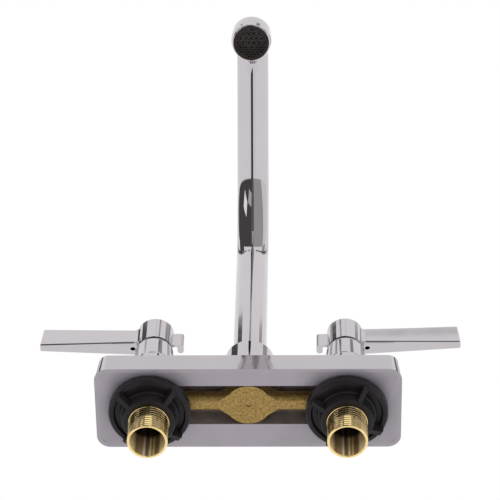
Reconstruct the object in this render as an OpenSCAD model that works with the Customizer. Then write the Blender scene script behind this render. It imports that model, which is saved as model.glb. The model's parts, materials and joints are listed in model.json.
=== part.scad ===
// Two-handle deck faucet on a 4 inch centreset base, with a swivelling angled spout.
// Frame: the origin is on the deck plane midway between the two inlet shanks,
// +Z is up, +X is to the right and the spout reaches forward along -Y. Millimetres.

/* [Base] */
// Length of the base, along the line of the handles
base_l = 158; // [152:1:176]
// Depth of the base, front to back
base_d = 49.2; // [48.5:0.1:60]
// Height of the base above the deck
base_h = 15.6; // [15:0.2:17]
// Plan radius of the base's vertical corners
base_corner_r = 7; // [5:0.5:9]
// How far the walls lean in from the deck to the top
base_draft = 1.5; // [0.5:0.1:1.8]
// Radius of the base's top edge
base_edge_r = 1.2; // [0.8:0.1:3]
// Width of the flat rim that sits on the deck
rim_w = 2.3; // [1.5:0.1:2.5]
// Height that the dished underside rises from the rim to the channel
dish_rise = 2.8; // [1:0.1:4]
// Width of the channel in the underside, which takes the brass casting
channel_w = 24.2; // [24.2:0.1:27]
// Thickness of the roof over the channel
roof_t = 2; // [1.5:0.1:3]

/* [Waterway] */
// Distance between the two inlet shanks, a 4 inch centreset
inlet_spacing = 101.6; // [98:0.1:110]
// Radius of the casting's two valve bodies
valve_body_r = 11.6; // [11.2:0.1:11.7]
// Height of the valve bodies' underside above the deck
valve_body_z = 1.5; // [0.5:0.1:2]
// Radius of the valve neck, which carries the bonnet
valve_neck_r = 10; // [9.8:0.05:10.2]
// Height of the top of the valve neck
valve_neck_top = 32; // [30:0.5:33]
// Radius of the bore that holds the cartridge
valve_bore_r = 8.3; // [8.1:0.05:8.5]
// Outer radius of the cross tube
cross_tube_r = 4.9; // [4.2:0.1:5.2]
// Bore radius of the cross tube
cross_bore_r = 2.9; // [2:0.1:3.2]
// Height of the cross tube's axis
cross_z = 7; // [6.5:0.1:7.2]
// Radius of the centre boss
boss_r = 11.8; // [11.4:0.1:11.9]
// Height of the flat underside of the centre boss
boss_z = 2.85; // [2:0.05:3.2]
// Radius of the shoulder that joins the boss to the cross tube
shoulder_r = 9; // [7:0.1:10]
// Distance from the centre to the end of that shoulder
shoulder_x = 15; // [13.5:0.5:16]
// Radius of the spout neck, which carries the spout nut
spout_neck_r = 10.9; // [10.6:0.05:11]
// Height of the top of the spout neck
spout_neck_top = 36; // [33:0.5:38]
// Radius of the socket in which the spout turns
spout_socket_r = 9.3; // [9.1:0.05:9.5]
// Height of the floor of that socket
spout_socket_z = 16; // [14:0.5:18]
// Radius of the rising waterway under the socket
riser_bore_r = 5; // [4:0.1:6]

/* [Inlet shanks] */
// Thread radius where the mounting nut runs
mount_thread_r = 10.53; // [10.53:0.01:10.6]
// Thread radius where the supply connector screws on
supply_thread_r = 10.36; // [10.2:0.01:10.36]
// Length of the shank below the deck plane
shank_drop = 29.3; // [28:0.1:60]
// Length of the supply thread at the tip
supply_thread_l = 16.1; // [12:0.1:16.2]
// Bore radius of the shank
shank_bore_r = 8.9; // [8:0.1:9.1]
// Radius of the port from the shank into the valve
port_r = 4.5; // [3.5:0.1:4.6]
// Depth below the deck plane at which the bore narrows to the port
port_depth = 4; // [2:0.5:8]
// Height of the shank's spigot inside the valve body
spigot_h = 1.5; // [1:0.1:1.6]
// Chamfer at the shank's tip
shank_chamfer = 0.4; // [0.3:0.1:0.6]

/* [Mounting nuts] */
// Radius of the nut's flange
nut_flange_r = 21.2; // [19:0.1:21.6]
// Thickness of the flange
nut_flange_t = 5.3; // [4:0.1:7]
// Gap between the flange and the deck plane, with no deck in place
nut_gap = 0.5; // [0.4:0.1:2]
// Radius of the nut's hub
nut_hub_r = 13.6; // [12.5:0.1:14.4]
// Height of the whole nut
nut_h = 12.2; // [11:0.1:12.4]
// Radius of the step round the hub
nut_step_r = 15; // [14.8:0.1:15.1]
// How far that step stands below the flange's ring
nut_step_drop = 1.2; // [0.6:0.1:2]
// Radius at which a grip ear ends
ear_reach = 20.6; // [17:0.1:20.8]
// Thickness of a grip ear
ear_t = 2.4; // [1.5:0.1:4]
// Depth of an ear at its outer end, below the flange's top
ear_drop = 9.6; // [8:0.1:10.5]
// Number of grip ears
ear_count = 4; // [3:1:6]
// Turn of the left nut's first ear from +X
left_nut_turn = 40; // [0:1:90]
// Turn of the right nut's first ear from +X
right_nut_turn = 28; // [0:1:90]

/* [Bonnets] */
// Radius of the bonnet's foot
bonnet_foot_r = 13.3; // [12.6:0.1:15]
// Thickness of the foot
bonnet_foot_t = 1.8; // [1:0.1:3]
// Radius of the lower skirt, above the foot
skirt_r = 11.7; // [11.4:0.1:12.4]
// Height of the groove between skirt and bell
groove_z = 34.2; // [33.5:0.1:34.5]
// Height of that groove
groove_h = 1.3; // [0.8:0.1:1.5]
// Radius of the bell at its lower end
bell_low_r = 11.2; // [11:0.1:12]
// Radius of the bell below its rounded shoulder
bell_top_r = 10.4; // [9.5:0.1:10.8]
// Height of the top of the bell
bell_top_z = 51.6; // [51:0.1:52]
// Radius of the bell's rounded shoulder
bell_shoulder_r = 3; // [1.5:0.1:3.4]
// Radius of the hole in the top of the bell
bell_hole_r = 6.6; // [6.5:0.1:7]

/* [Cartridges] */
// Radius of the cartridge's skirt, which holds the discs
cartridge_skirt_r = 7.6; // [7.5:0.05:7.8]
// Radius of the chamber inside that skirt
cartridge_chamber_r = 6.75; // [6.7:0.05:6.8]
// Height of the roof of that chamber
chamber_top = 16; // [15:0.5:18]
// Height at which the skirt meets the threaded part
cartridge_thread_z = 20; // [18.5:0.5:24]
// Radius of the cartridge's flange on top of the valve neck
cartridge_flange_r = 9.6; // [9.2:0.05:9.7]
// Thickness of that flange
cartridge_flange_t = 3; // [2:0.1:3.5]
// Radius of the cartridge's upper neck
cartridge_neck_r = 6.2; // [5.8:0.05:6.3]
// Height of the top of that neck
cartridge_neck_top = 49.3; // [46:0.1:50]
// Radius of each ceramic disc
disc_r = 6.6; // [6.2:0.05:6.65]
// Thickness of each ceramic disc
disc_t = 2.5; // [2:0.1:2.6]
// Radius of the two ports in a disc
disc_port_r = 1.7; // [1:0.1:1.9]
// Distance of a disc's ports from its centre
disc_port_x = 3.9; // [3.7:0.05:4.2]
// Thickness of the seat seal under the discs
seat_seal_t = 1.8; // [1.5:0.1:2]
// Radius of the stem
stem_r = 4.4; // [4:0.05:4.5]
// Radius of the stem's foot, which drives the upper disc
stem_foot_r = 5.2; // [5:0.05:5.6]
// Width of the tongue under the stem's foot
tongue_w = 2.8; // [2:0.1:3]
// Depth of that tongue in the upper disc
tongue_h = 0.9; // [0.5:0.1:1.2]
// Height of the stem's seal
stem_seal_z = 42; // [24:0.5:47]

/* [Levers] */
// Radius of the lever's hub
hub_r = 9.7; // [9:0.1:10.5]
// Height of the underside of the hub
hub_z = 52.2; // [52:0.1:54]
// Height of the top of the hub
hub_top = 69.6; // [68:0.1:74]
// Reach of the lever from its axis
lever_reach = 61.5; // [45:0.5:90]
// Width of the lever where it leaves the hub
lever_root_w = 8.4; // [6:0.1:11]
// Width of the lever at its end
lever_end_w = 4.4; // [3:0.1:8]
// Height of the underside of the lever
lever_z = 54.4; // [54:0.1:56]
// Height of the lever's top where it leaves the hub
lever_root_top = 66; // [63:0.1:68]
// Height of the lever's top at its end
lever_end_top = 69.4; // [62:0.1:72]
// How far the lever's end leans back at the top
lever_end_lean = 1; // [0:0.1:2]
// Radius that blends the lever into its hub, in plan
lever_fillet_r = 4; // [2:0.25:5]
// Reach of the short tail behind the hub
tail_reach = 15.4; // [12:0.1:18]
// Width of the tail
tail_w = 5.4; // [4:0.1:7]
// Height of the tail
tail_h = 10.6; // [6:0.1:12]
// Thickness of the tail's web, along its front
tail_web_t = 1.5; // [1:0.1:2.5]
// Thickness of the bead at the tail's end
tail_bead_t = 3.4; // [2.6:0.1:4]
// Height of the top of the stem inside the hub
stem_top = 65.5; // [64.5:0.1:66]
// Radius of the set screw
set_screw_r = 1; // [0.9:0.05:1.5]
// Length of the set screw
set_screw_l = 5; // [3:0.1:5.2]
// Distance from the lever's axis to the set screw's hole
set_screw_x = 11.8; // [11.5:0.1:12.5]
// Angle of the set screw's hole above the deck
set_screw_angle = 52; // [45:1:52]
// Angle of the left lever from +X line at rest, towards the front
left_rest_turn = 0.5; // [0:0.1:5]
// Angle of the right lever from +X line at rest, towards the front
right_rest_turn = 2; // [0:0.1:5]

/* [Spout] */
// Outer radius of the spout tube
tube_r = 8.9; // [8.2:0.05:8.95]
// Wall of the spout tube
tube_wall = 1; // [0.8:0.05:1.2]
// Height at which the first bend starts
bend_z = 137; // [90:1:200]
// Centreline radius of the first bend
bend_r = 60; // [30:1:90]
// Angle of the first bend
bend_angle = 58; // [30:1:80]
// Straight length between the bends
reach_l = 57.8; // [30:0.1:120]
// Centreline radius of the outlet bend
outlet_bend_r = 22; // [20:0.5:40]
// Angle between the outlet and straight down, towards the front
outlet_tilt = 12; // [0:1:30]
// Straight tube after the outlet bend
outlet_stub = 4.5; // [3:0.1:8]
// Outer radius of the spout nut
spout_nut_r = 13; // [12.5:0.1:16]
// Height of the top of the spout nut
spout_nut_top = 43.6; // [42.5:0.1:50]
// Height of the ceiling inside the spout nut
spout_nut_ceiling = 40; // [39.9:0.1:40.5]
// Radius of the spout adapter's collar
adapter_collar_r = 10.6; // [10.2:0.05:10.8]
// Thickness of that collar
adapter_collar_t = 1.9; // [1.5:0.1:2]
// Height of the lower end of the adapter
adapter_z = 18; // [16.5:0.5:22]
// Bore radius of the adapter
adapter_bore_r = 6; // [5:0.1:6.5]
// Height of the adapter's spigot inside the tube
adapter_spigot_h = 8; // [4:0.5:14]
// Heights of the two spout seals
spout_seal_z = [23, 29]; // [20:0.5:33]

/* [Aerator] */
// Outer radius of the aerator housing
housing_r = 11.15; // [10.8:0.05:13]
// Radius of the housing's front ring
housing_front_r = 10.45; // [10.2:0.05:10.7]
// Length of the housing
housing_l = 16.5; // [16:0.1:18]
// Radius of the insert
insert_r = 9.8; // [9.4:0.05:9.85]
// Wall of the insert
insert_wall = 1.3; // [0.8:0.1:1.6]
// Thickness of the insert's outlet grid
grid_t = 1.1; // [0.6:0.1:2]
// Width of one hole of the grid, across its corners
grid_hole = 1.05; // [0.6:0.05:1.3]
// Distance between the grid's holes
grid_pitch = 1.5; // [1.5:0.05:2.4]
// Thickness of the aerator's gasket
aerator_gasket_t = 1.6; // [1:0.1:1.8]
// Thickness of the wire screen
screen_t = 0.5; // [0.3:0.05:0.8]

/* [Fits] */
// Radial clearance of a shaft that turns or slides in a bore
running_gap = 0.07; // [0.04:0.01:0.1]
// Radial clearance between parts that stay together
seat_gap = 0.08; // [0.04:0.01:0.12]
// Clearance beside a part that turns, or in a loose hole
free_gap = 0.3; // [0.3:0.05:0.4]
// Face clearance between a turning part and its seat
face_gap = 0.1; // [0.05:0.01:0.15]
// Cord radius of the round seals
seal_cord_r = 0.65; // [0.5:0.05:0.7]

/* [Hidden] */

$fn = 96;
cut = 0.5;                 // how far a cutting shape runs past the faces it cuts

left = -1;
right = 1;
side_turn = [180, 0];      // a lever's own +X points outward on both sides

chrome = [0.80, 0.79, 0.81];
cast_brass = [0.62, 0.50, 0.22];
bright_brass = [0.86, 0.70, 0.34];
black_plastic = [0.10, 0.10, 0.11];
rubber = [0.13, 0.13, 0.13];
ceramic = [0.93, 0.93, 0.90];
steel = [0.55, 0.56, 0.58];
aerator_plastic = [0.20, 0.17, 0.15];
white_plastic = [0.88, 0.88, 0.86];

side_x = inlet_spacing / 2;
channel_top = base_h - roof_t;
dish_run = (base_d - channel_w) / 2 - rim_w;

// Heights of the cartridge's stack, from the shank's spigot up
seat_z = valve_body_z + spigot_h;
fixed_disc_z = seat_z + seat_seal_t + face_gap / 2;
moving_disc_z = fixed_disc_z + disc_t + face_gap;
stem_foot_z = moving_disc_z + disc_t;
stem_foot_top = chamber_top - free_gap;
cartridge_flange_top = valve_neck_top + cartridge_flange_t;
window_z = stem_foot_z + face_gap;

// The bonnet stands on its gasket
bonnet_gasket_t = 0.7;
bonnet_z = base_h + bonnet_gasket_t;
bonnet_cavity_top = cartridge_flange_top + free_gap;

// Heights in the spout's joint
adapter_collar_z = spout_neck_top + free_gap;
tube_z = adapter_collar_z + adapter_collar_t;
washer_z = tube_z + face_gap;

// The nut hangs under the deck plane
nut_top = -nut_gap;
nut_bottom = nut_top - nut_h;

// The spout's centreline, in the plane X = 0
tube_bore_r = tube_r - tube_wall;
outlet_angle = 180 - outlet_tilt;
bend_centre = [0, -bend_r, bend_z];
function radial(turn) = [0, cos(turn), sin(turn)];
function along(turn) = [0, -sin(turn), cos(turn)];
reach_end = bend_centre + bend_r * radial(bend_angle) + reach_l * along(bend_angle);
outlet_centre = reach_end - outlet_bend_r * radial(bend_angle);
outlet_start = outlet_centre + outlet_bend_r * radial(outlet_angle);

// Stations of a bend: a point and a tilt each
function bend_stations(centre, r, first, final, steps) = [
    for (i = [0 : steps])
        let (turn = first + (final - first) * i / steps)
            [centre + r * radial(turn), turn]
];
tube_sides = 36;
tube_stations = concat(
    [[[0, 0, tube_z], 0]],
    bend_stations(bend_centre, bend_r, 0, bend_angle, 12),
    bend_stations(outlet_centre, outlet_bend_r, bend_angle, outlet_angle, 18),
    [[outlet_start + outlet_stub * along(outlet_angle), outlet_angle]]
);

// Distances along the outlet's axis, from the end of the outlet bend
housing_w = 1;
stop_w = outlet_stub;
stop_t = 0.6;
gasket_w = stop_w + stop_t;
screen_w = gasket_w + aerator_gasket_t;
insert_w = screen_w + screen_t;
housing_end_w = housing_w + housing_l;

// A ring about Z between two heights
module ring(r_out, r_in, z0, z1) {
    translate([0, 0, z0])
        difference() {
            cylinder(r = r_out, h = z1 - z0);
            translate([0, 0, -cut])
                cylinder(r = r_in, h = z1 - z0 + 2 * cut);
        }
}

// A solid about Z between two heights
module rod(r, z0, z1) {
    translate([0, 0, z0])
        cylinder(r = r, h = z1 - z0);
}

// A round seal about Z, cord centred at radius and height
module round_seal(r, z) {
    translate([0, 0, z])
        rotate_extrude()
            translate([r, 0])
                circle(r = seal_cord_r, $fn = 32);
}

// Moves a part onto the left or right valve axis
module on_side(side) {
    translate([side * side_x, 0, 0])
        children();
}

// Turns a part made along its own +X so that it points outward, at its angle at rest
module handed(side) {
    on_side(side)
        rotate([0, 0, side == left ? 180 + left_rest_turn : -right_rest_turn])
            children();
}

// Places a part made about Z on the outlet's axis, with its zero at the end of the outlet bend
module on_outlet() {
    translate(outlet_start)
        rotate([outlet_angle, 0, 0])
            children();
}

// Half section of the base's wall, out from a corner's centre
module base_section(inset) {
    reach = base_corner_r - inset;
    difference() {
        polygon([
            [0, 0],
            [reach, 0],
            [reach - base_draft, base_h - base_edge_r],
            [reach - base_draft, base_h],
            [0, base_h]
        ]);
        translate([reach - base_draft - base_edge_r, base_h - base_edge_r])
            difference() {
                square([2 * base_edge_r, 2 * base_edge_r]);
                circle(r = base_edge_r);
            }
    }
}

// The base's outside, with true round corners
module base_outside() {
    half_l = base_l / 2 - base_corner_r;
    half_d = base_d / 2 - base_corner_r;
    for (corner = [[1, 1, 0], [-1, 1, 90], [-1, -1, 180], [1, -1, 270]])
        translate([corner[0] * half_l, corner[1] * half_d, 0])
            rotate([0, 0, corner[2]])
                rotate_extrude(angle = 90)
                    base_section(0);
    for (turn = [0, 180])
        rotate([0, 0, turn]) {
            translate([half_l, half_d, 0])
                rotate([90, 0, 0])
                    linear_extrude(2 * half_d)
                        base_section(0);
            translate([-half_l, half_d, 0])
                rotate([90, 0, 90])
                    linear_extrude(2 * half_l)
                        base_section(0);
        }
    translate([-half_l, -half_d, 0])
        cube([2 * half_l, 2 * half_d, base_h]);
}

// The dished hollow of the underside, inside the rim
module underside_dish() {
    in_l = base_l / 2 - rim_w;
    in_d = base_d / 2 - rim_w;
    in_r = base_corner_r - rim_w;
    intersection() {
        translate([-in_l, 0, 0])
            rotate([90, 0, 90])
                linear_extrude(2 * in_l)
                    dish_section(in_d);
        translate([0, in_d, 0])
            rotate([90, 0, 0])
                linear_extrude(2 * in_d)
                    dish_section(in_l);
        translate([0, 0, -cut])
            linear_extrude(dish_rise + 2 * cut)
                union() {
                    square([2 * (in_l - in_r), 2 * in_d], center = true);
                    square([2 * in_l, 2 * (in_d - in_r)], center = true);
                    for (x = [-1, 1], y = [-1, 1])
                        translate([x * (in_l - in_r), y * (in_d - in_r)])
                            circle(r = in_r);
                }
    }
}

// Section of the dish, rising from the rim's inner edge
module dish_section(half) {
    polygon([
        [-half, -cut],
        [half, -cut],
        [half, 0],
        [half - dish_run, dish_rise],
        [dish_run - half, dish_rise],
        [-half, 0]
    ]);
}

// The obround channel in which the brass casting lies
module underside_channel() {
    translate([0, 0, -cut])
        linear_extrude(channel_top + cut)
            union() {
                square([inlet_spacing, channel_w], center = true);
                for (side = [left, right])
                    translate([side * side_x, 0])
                        circle(r = channel_w / 2);
            }
}

module base_body() {
    color(chrome)
        difference() {
            base_outside();
            underside_dish();
            underside_channel();
            for (side = [left, right])
                on_side(side)
                    rod(valve_neck_r + free_gap, channel_top - cut, base_h + cut);
            rod(spout_neck_r + free_gap, channel_top - cut, base_h + cut);
        }
}

// The cross tube and the shoulders that join it to the boss, cut flat like the boss
module cross_tube() {
    flare = 4;
    run_in = 1;
    inside_boss = 0.5;
    half_w = boss_r - inside_boss;
    intersection() {
        union() {
            translate([-side_x, 0, cross_z])
                rotate([0, 90, 0])
                    cylinder(r = cross_tube_r, h = inlet_spacing);
            for (turn = [90, -90])
                translate([0, 0, cross_z])
                    rotate([0, turn, 0])
                        cylinder(
                            r1 = shoulder_r + flare,
                            r2 = cross_tube_r - run_in / 2,
                            h = shoulder_x + run_in
                        );
        }
        translate([-side_x, -half_w, boss_z])
            cube([inlet_spacing, 2 * half_w, channel_top - boss_z]);
    }
}

module brass_manifold() {
    pit_r = 1.3;
    pit_depth = 0.5;
    floor_t = 1.4;
    color(cast_brass)
        difference() {
            union() {
                rod(boss_r, boss_z, channel_top);
                rod(spout_neck_r, channel_top, spout_neck_top);
                cross_tube();
                for (side = [left, right])
                    on_side(side) {
                        rod(valve_body_r, valve_body_z, channel_top);
                        rod(valve_neck_r, channel_top, valve_neck_top);
                    }
            }
            rod(spout_socket_r, spout_socket_z, spout_neck_top + cut);
            rod(riser_bore_r, boss_z + floor_t, spout_socket_z + cut);
            rod(pit_r, boss_z - cut, boss_z + pit_depth);
            translate([-side_x, 0, cross_z])
                rotate([0, 90, 0])
                    cylinder(r = cross_bore_r, h = inlet_spacing);
            for (side = [left, right])
                on_side(side)
                    rod(valve_bore_r, valve_body_z - cut, valve_neck_top + cut);
        }
}

// One inlet shank: two thread lengths outside, bore and port inside
module inlet_shank(side) {
    tip = -shank_drop;
    supply_top = tip + supply_thread_l;
    color(bright_brass)
        on_side(side)
            difference() {
                union() {
                    rod(supply_thread_r, tip + shank_chamfer, supply_top);
                    translate([0, 0, tip])
                        cylinder(
                            r1 = supply_thread_r - shank_chamfer,
                            r2 = supply_thread_r,
                            h = shank_chamfer
                        );
                    rod(mount_thread_r, supply_top, valve_body_z);
                    rod(valve_bore_r - seat_gap, valve_body_z, seat_z);
                }
                rod(shank_bore_r, tip - cut, -port_depth);
                rod(port_r, -port_depth - cut, seat_z + cut);
                translate([0, 0, tip - 0.01])
                    cylinder(r1 = shank_bore_r + shank_chamfer, r2 = shank_bore_r, h = shank_chamfer);
            }
}

module left_inlet_shank() {
    inlet_shank(left);
}

module right_inlet_shank() {
    inlet_shank(right);
}

// One grip ear, made along +X, rising from the hub to the flange
module nut_ear() {
    into_flange = 1;
    above_face = 0.8;
    ear_top = nut_top - nut_flange_t + into_flange;
    ear_low = nut_top - ear_drop;
    bore_side = nut_hub_r - 1.5;
    tip_r = 2.2;
    translate([0, ear_t / 2, 0])
        rotate([90, 0, 0])
            linear_extrude(ear_t)
                union() {
                    polygon([
                        [bore_side, ear_top],
                        [ear_reach, ear_top],
                        [ear_reach, ear_low + tip_r],
                        [ear_reach - tip_r, ear_low],
                        [nut_hub_r, nut_bottom + above_face],
                        [bore_side, nut_bottom + above_face]
                    ]);
                    translate([ear_reach - tip_r, ear_low + tip_r])
                        circle(r = tip_r, $fn = 48);
                }
}

// One mounting nut: flange, hub and grip ears round a threaded bore
module mounting_nut(side, turn) {
    flange_low = nut_top - nut_flange_t;
    step_low = flange_low - nut_step_drop;
    recess_h = 1.6;
    ring_w = 2.6;
    edge = 0.8;
    mouth = 0.3;
    bore_r = mount_thread_r + running_gap;
    color(black_plastic)
        on_side(side)
            difference() {
                union() {
                    rotate_extrude()
                        polygon([
                            [bore_r - cut, nut_top],
                            [nut_flange_r - edge / 2, nut_top],
                            [nut_flange_r, nut_top - edge / 2],
                            [nut_flange_r, flange_low + edge],
                            [nut_flange_r - edge, flange_low],
                            [nut_flange_r - ring_w, flange_low],
                            [nut_flange_r - ring_w - edge, flange_low + recess_h],
                            [nut_step_r + edge / 2, flange_low + recess_h],
                            [nut_step_r, step_low + edge / 2],
                            [nut_step_r - edge / 2, step_low],
                            [nut_hub_r, step_low],
                            [nut_hub_r, nut_bottom + edge / 2],
                            [nut_hub_r - edge / 2, nut_bottom],
                            [bore_r - cut, nut_bottom]
                        ]);
                    for (i = [0 : ear_count - 1])
                        rotate([0, 0, turn + i * 360 / ear_count])
                            nut_ear();
                }
                rod(bore_r, nut_bottom - cut, nut_top + cut);
                translate([0, 0, nut_bottom - 0.01])
                    cylinder(r1 = bore_r + mouth, r2 = bore_r, h = mouth);
            }
}

module left_mounting_nut() {
    mounting_nut(left, left_nut_turn);
}

module right_mounting_nut() {
    mounting_nut(right, right_nut_turn);
}

module bonnet_gasket(side) {
    color(rubber)
        on_side(side)
            ring(bonnet_foot_r - free_gap, valve_neck_r + free_gap, base_h, bonnet_z);
}

module left_bonnet_gasket() {
    bonnet_gasket(left);
}

module right_bonnet_gasket() {
    bonnet_gasket(right);
}

// Half section of a bonnet: foot, skirt, groove and bell with a rounded shoulder
module bonnet_section() {
    foot_top = bonnet_z + bonnet_foot_t;
    cove_r = bonnet_foot_r - skirt_r;
    shoulder_z = bell_top_z - bell_shoulder_r;
    groove_r = min(skirt_r, bell_low_r) - 0.9;
    thread_r = valve_neck_r + seat_gap;
    shoulder_x = bell_top_r - bell_shoulder_r;
    difference() {
        union() {
            polygon([
                [thread_r, bonnet_z],
                [bonnet_foot_r, bonnet_z],
                [bonnet_foot_r, foot_top],
                [skirt_r, foot_top + cove_r],
                [skirt_r, groove_z],
                [groove_r, groove_z],
                [groove_r, groove_z + groove_h / 2],
                [bell_low_r, groove_z + groove_h],
                [bell_top_r, shoulder_z],
                [shoulder_x, shoulder_z],
                [shoulder_x, bell_top_z],
                [bell_hole_r, bell_top_z],
                [bell_hole_r, bonnet_cavity_top],
                [thread_r, bonnet_cavity_top]
            ]);
            intersection() {
                translate([shoulder_x, shoulder_z])
                    circle(r = bell_shoulder_r);
                translate([shoulder_x, shoulder_z])
                    square([bell_shoulder_r, bell_shoulder_r]);
            }
        }
        translate([bonnet_foot_r, foot_top + cove_r])
            circle(r = cove_r);
    }
}

module bonnet(side) {
    color(chrome)
        on_side(side)
            rotate_extrude()
                bonnet_section();
}

module left_bonnet() {
    bonnet(left);
}

module right_bonnet() {
    bonnet(right);
}

module seat_seal(side) {
    color(rubber)
        on_side(side)
            ring(disc_r - free_gap, port_r, seat_z, seat_z + seat_seal_t);
}

module left_seat_seal() {
    seat_seal(left);
}

module right_seat_seal() {
    seat_seal(right);
}

// A ceramic disc with two ports, the ports on the line at the given turn
module ceramic_disc(z, turn) {
    difference() {
        rod(disc_r, z, z + disc_t);
        for (way = [0, 180])
            rotate([0, 0, turn + way])
                translate([disc_port_x, 0, 0])
                    rod(disc_port_r, z - cut, z + disc_t + cut);
    }
}

module fixed_disc(side) {
    color(ceramic)
        on_side(side)
            ceramic_disc(fixed_disc_z, 0);
}

module left_fixed_disc() {
    fixed_disc(left);
}

module right_fixed_disc() {
    fixed_disc(right);
}

// The moving disc's ports stand square to the fixed disc's, so the valve is shut at rest
module moving_disc(side) {
    slot_w = tongue_w + 2 * face_gap;
    color(ceramic)
        on_side(side)
            difference() {
                ceramic_disc(moving_disc_z, 90);
                translate([-disc_r, -slot_w / 2, stem_foot_z - tongue_h - face_gap])
                    cube([2 * disc_r, slot_w, tongue_h + face_gap + cut]);
            }
}

module left_moving_disc() {
    moving_disc(left);
}

module right_moving_disc() {
    moving_disc(right);
}

// One cartridge body: slotted skirt, threaded part, flange and upper neck
module cartridge_body(side) {
    window_w = 7;
    window_top = chamber_top - 1;
    color(bright_brass)
        on_side(side)
            difference() {
                union() {
                    rod(cartridge_skirt_r, seat_z + face_gap, cartridge_thread_z);
                    rod(valve_bore_r - seat_gap, cartridge_thread_z, valve_neck_top);
                    rod(cartridge_flange_r, valve_neck_top, cartridge_flange_top);
                    rod(cartridge_neck_r, cartridge_flange_top, cartridge_neck_top);
                }
                rod(cartridge_chamber_r, seat_z - cut, chamber_top);
                rod(stem_r + running_gap, chamber_top - cut, cartridge_neck_top + cut);
                translate([-cartridge_skirt_r - cut, -window_w / 2, window_z])
                    cube([2 * (cartridge_skirt_r + cut), window_w, window_top - window_z]);
            }
}

module left_cartridge_body() {
    cartridge_body(left);
}

module right_cartridge_body() {
    cartridge_body(right);
}

// One stem: tongue and foot below, a groove for the seal, and a plain shaft into the hub
module stem(side) {
    groove_r = stem_r - 2 * seal_cord_r - face_gap;
    groove_h = 2 * seal_cord_r + face_gap;
    color(bright_brass)
        on_side(side) {
            difference() {
                union() {
                    rod(stem_foot_r, stem_foot_z, stem_foot_top);
                    rod(stem_r, stem_foot_top - cut, stem_top);
                }
                ring(stem_r + cut, groove_r, stem_seal_z - groove_h / 2, stem_seal_z + groove_h / 2);
            }
            intersection() {
                rod(stem_foot_r, stem_foot_z - tongue_h, stem_foot_z);
                translate([-stem_foot_r, -tongue_w / 2, stem_foot_z - tongue_h])
                    cube([2 * stem_foot_r, tongue_w, tongue_h]);
            }
        }
}

module left_stem() {
    stem(left);
}

module right_stem() {
    stem(right);
}

// The seal lies in the stem's groove and just meets the cartridge's bore
module stem_seal(side) {
    color(rubber)
        on_side(side)
            round_seal(stem_r - seal_cord_r + running_gap / 2, stem_seal_z);
}

module left_stem_seal() {
    stem_seal(left);
}

module right_stem_seal() {
    stem_seal(right);
}

// Outline of a lever from above: hub, tapered arm with blended root, and tail
module lever_plan() {
    root_x = hub_r;
    half_root = lever_root_w / 2;
    half_end = lever_end_w / 2;
    blend_y = half_root + lever_fillet_r;
    blend_x = sqrt(pow(hub_r + lever_fillet_r, 2) - blend_y * blend_y);
    on_hub = hub_r / (hub_r + lever_fillet_r);
    circle(r = hub_r);
    polygon([
        [0, half_root],
        [blend_x, half_root],
        [lever_reach, half_end],
        [lever_reach, -half_end],
        [blend_x, -half_root],
        [0, -half_root]
    ]);
    for (way = [1, -1])
        difference() {
            polygon([
                [0, 0],
                [blend_x, 0],
                [blend_x, way * half_root],
                [blend_x, way * (half_root + 0.001)],
                [blend_x * on_hub, way * blend_y * on_hub]
            ]);
            translate([blend_x, way * blend_y])
                circle(r = lever_fillet_r);
        }
}

// Outline of a lever from the front, below which and above which nothing stands
module lever_profile() {
    inner_x = hub_r - 2;
    polygon([
        [inner_x, lever_z],
        [lever_reach, lever_z],
        [lever_reach - lever_end_lean, lever_end_top],
        [inner_x, lever_root_top]
    ]);
}

// Outline of a lever's tail from above: a web along one side and a rounded bead at its end
module tail_plan(front) {
    bead_r = tail_bead_t / 2;
    bead_x = -(tail_reach - bead_r);
    half = tail_w / 2;
    translate([bead_x, front > 0 ? half - tail_web_t : -half])
        square([-bead_x, tail_web_t]);
    translate([bead_x - bead_r, bead_r - half])
        square([tail_bead_t, tail_w - tail_bead_t]);
    for (way = [1, -1])
        translate([bead_x, way * (half - bead_r)])
            circle(r = bead_r);
}

// The set screw's axis, from its mouth under the lever up towards the stem
module on_set_screw() {
    translate([set_screw_x, 0, lever_z])
        rotate([0, set_screw_angle - 90, 0])
            children();
}

module lever(side) {
    crown = 0.8;
    mouth = 2;
    hole_l = (set_screw_x - stem_r / 2) / cos(set_screw_angle);
    color(chrome)
        handed(side)
            difference() {
                union() {
                    intersection() {
                        translate([0, 0, lever_z - cut])
                            linear_extrude(hub_top)
                                lever_plan();
                        translate([0, lever_root_w + hub_r, 0])
                            rotate([90, 0, 0])
                                linear_extrude(2 * (lever_root_w + hub_r))
                                    lever_profile();
                    }
                    rod(hub_r, hub_z, hub_top - crown);
                    translate([0, 0, hub_top - crown])
                        cylinder(r1 = hub_r, r2 = hub_r - crown, h = crown);
                    translate([0, 0, lever_z])
                        linear_extrude(tail_h)
                            tail_plan(-side);
                }
                rod(stem_r + seat_gap, hub_z - cut, stem_top + free_gap);
                on_set_screw()
                    rod(set_screw_r + seat_gap, -mouth, hole_l);
            }
}

module left_lever() {
    lever(left);
}

module right_lever() {
    lever(right);
}

// The set screw stands just off the stem, with a hexagon socket in its outer end
module set_screw(side) {
    to_stem = (set_screw_x - stem_r - seat_gap) / cos(set_screw_angle);
    inner_end = to_stem - set_screw_r * tan(set_screw_angle);
    socket_r = 0.55 * set_screw_r;
    socket_depth = 1.6;
    color(steel)
        handed(side)
            on_set_screw()
                difference() {
                    rod(set_screw_r, inner_end - set_screw_l, inner_end);
                    translate([0, 0, inner_end - set_screw_l - cut])
                        cylinder(r = socket_r, h = socket_depth + cut, $fn = 6);
                }
}

module left_set_screw() {
    set_screw(left);
}

module right_set_screw() {
    set_screw(right);
}

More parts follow.
